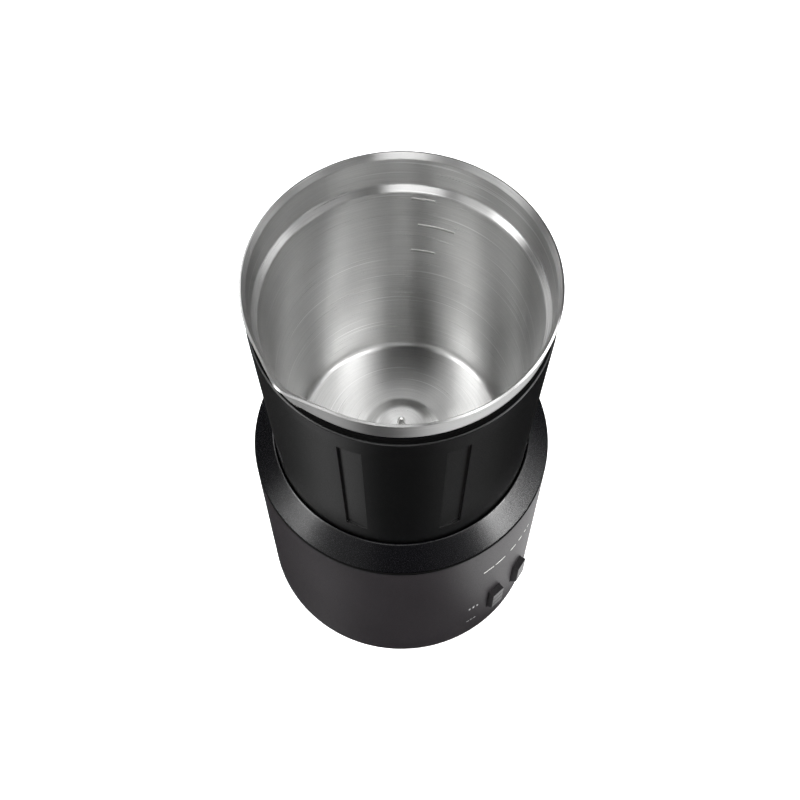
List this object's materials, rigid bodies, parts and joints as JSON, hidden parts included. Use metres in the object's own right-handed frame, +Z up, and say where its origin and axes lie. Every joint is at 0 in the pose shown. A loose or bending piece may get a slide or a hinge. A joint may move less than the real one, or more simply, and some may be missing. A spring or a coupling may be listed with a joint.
{
  "type": "milk frother",
  "caption": "Countertop milk frother: round base with push buttons and a well, and a lift-off steel jug with a pouring spout and a magnetically driven whisk spindle.",
  "frame": {"origin": "centre of the footprint, on the surface the feet stand on", "axes": "+Z up along the axis of the base and jug, -Y towards the buttons, +Y towards the cord gland, -X towards the spout (the jug is turned 4 degrees on its seat)"},
  "size_m": [0.12, 0.1257, 0.2189],
  "materials": {
    "brushed_steel_liner": "brushed round the axis, satin",
    "spindle_steel": "turned, polished",
    "plate_steel": "dull sheet",
    "screw_steel": "zinc plated",
    "spring_steel": "bright wire",
    "can_steel": "zinc plated",
    "magnet_nickel": "nickel plated",
    "sleeve_black": "fine satin grain",
    "seal_black": "matte",
    "foot_black": "matte",
    "housing_graphite": "satin, fine grain",
    "collar_satin": "satin",
    "well_black": "satin",
    "cover_black": "matte grain",
    "button_black": "satin",
    "cap_black": "moulded",
    "foot_rubber": "matte",
    "gland_rubber": "matte",
    "former_white": "moulded nylon",
    "coil_copper": "enamelled copper",
    "ferrite_dark": "sintered",
    "bush_bronze": "sintered bronze",
    "board_green": "solder mask",
    "capacitor_sleeve": "shrunk sleeve",
    "sink_aluminium": "extruded",
    "transformer_yellow": "taped winding",
    "terminal_green": "moulded",
    "lead_red": "silicone sleeve",
    "lead_white": "silicone sleeve",
    "lead_grey": "flat cable"
  },
  "bodies": {
    "base": {"base_housing": "housing_graphite", "shoulder_ring": "collar_satin", "well_cup": "well_black", "collar_screws": "screw_steel", "bottom_cover": "cover_black", "cover_screws": "screw_steel", "rubber_feet": "foot_rubber", "cord_gland": "gland_rubber", "coil_former": "former_white", "induction_coil": "coil_copper", "ferrite_bars": "ferrite_dark", "sensor_spring": "spring_steel", "sensor_holder": "former_white", "motor_bracket": "plate_steel", "bracket_screws": "screw_steel", "motor_screws": "screw_steel", "motor_can": "can_steel", "motor_end_cap": "cap_black", "top_bush": "bush_bronze", "bottom_bush": "bush_bronze", "field_magnets": "ferrite_dark", "power_board": "board_green", "board_screws": "screw_steel", "smoothing_capacitors": "capacitor_sleeve", "filter_choke": "coil_copper", "heatsink": "sink_aluminium", "power_transistors": "cap_black", "supply_transformer": "transformer_yellow", "terminal_block": "terminal_green", "button_guide": "former_white", "control_board": "board_green", "panel_screws": "screw_steel", "tact_switches": "cap_black", "button_spring_left": "spring_steel", "button_spring_right": "spring_steel", "coil_leads": "lead_red", "motor_leads": "lead_red", "sensor_lead": "lead_white", "ribbon_cable": "lead_grey"},
    "jug": {"jug_liner": "brushed_steel_liner", "whisk_spindle": "spindle_steel", "jug_sleeve": "sleeve_black", "rim_seal": "seal_black", "jug_foot": "foot_black", "heating_plate": "plate_steel"},
    "drive": {"drive_shaft": "spindle_steel", "magnet_carrier": "former_white", "drive_magnets": "magnet_nickel", "motor_armature": "can_steel"},
    "sensor": {"sensor_cap": "sink_aluminium"},
    "left_button": {"button_left": "button_black"},
    "right_button": {"button_right": "button_black"}
  },
  "joints": [
    {"name": "jug_lift", "type": "slide", "parent": "base", "child": "jug", "axis": [0, 0, 1], "range_m": [0, 0.06]},
    {"name": "drive_spin", "type": "hinge", "parent": "base", "child": "drive", "pos_m": [0, 0, 0.0743], "axis": [0, 0, 1], "continuous": true},
    {"name": "sensor_press", "type": "slide", "parent": "base", "child": "sensor", "axis": [0, 0, -1], "range_m": [0, 0.0012], "stiffness_N_per_m": 250, "springref_m": -0.0012, "deforming": ["sensor_spring"]},
    {"name": "left_button_press", "type": "slide", "parent": "base", "child": "left_button", "axis": [0.1323, 0.9912, 0], "range_m": [0, 0.0012], "stiffness_N_per_m": 600, "springref_m": -0.0015, "deforming": ["button_spring_left"]},
    {"name": "right_button_press", "type": "slide", "parent": "base", "child": "right_button", "axis": [-0.1323, 0.9912, 0], "range_m": [0, 0.0012], "stiffness_N_per_m": 600, "springref_m": -0.0015, "deforming": ["button_spring_right"]}
  ]
}
